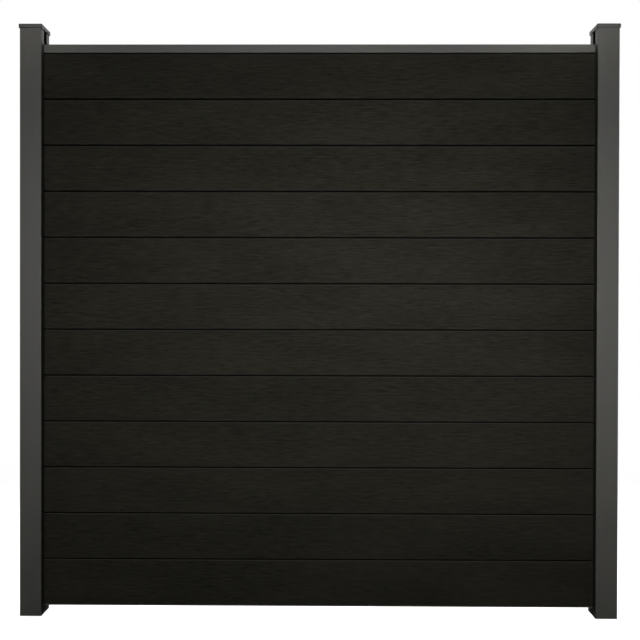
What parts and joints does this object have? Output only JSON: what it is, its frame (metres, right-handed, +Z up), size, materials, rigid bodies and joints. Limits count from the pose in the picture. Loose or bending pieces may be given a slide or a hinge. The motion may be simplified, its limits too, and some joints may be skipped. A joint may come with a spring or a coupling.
{
  "type": "garden privacy screen",
  "caption": "Free-standing garden privacy screen: dark grooved-and-tongued boards stacked between slotted square posts, with a top rail and lift-off post caps.",
  "frame": {"origin": "on the ground, midway between the two posts and midway through their depth (the middle of the underside of the overall box)", "axes": "+X runs along the screen to the right as seen from the front, +Y points from the front to the back, +Z is up"},
  "size_m": [1.9374, 0.0764, 1.9143],
  "materials": {
    "coated_aluminium": "matte",
    "composite_board": "matte",
    "cap_plastic": "satin",
    "spacer_plastic": "matte",
    "screw_steel": "satin"
  },
  "bodies": {
    "screen": {"left_post": "coated_aluminium", "right_post": "coated_aluminium", "top_rail": "coated_aluminium", "bottom_rail": "coated_aluminium", "left_slot_cover": "coated_aluminium", "right_slot_cover": "coated_aluminium", "board_01": "composite_board", "board_02": "composite_board", "board_03": "composite_board", "board_04": "composite_board", "board_05": "composite_board", "board_06": "composite_board", "board_07": "composite_board", "board_08": "composite_board", "board_09": "composite_board", "board_10": "composite_board", "board_11": "composite_board", "board_12": "composite_board", "left_slot_spacer": "spacer_plastic", "right_slot_spacer": "spacer_plastic", "left_rail_screw": "screw_steel", "right_rail_screw": "screw_steel"},
    "left_cap": {"left_post_cap": "cap_plastic"},
    "right_cap": {"right_post_cap": "cap_plastic"}
  },
  "joints": [
    {"name": "left_cap_lift", "type": "slide", "parent": "screen", "child": "left_cap", "axis": [0, 0, 1], "range_m": [0, 0.06]},
    {"name": "right_cap_lift", "type": "slide", "parent": "screen", "child": "right_cap", "axis": [0, 0, 1], "range_m": [0, 0.06]}
  ]
}
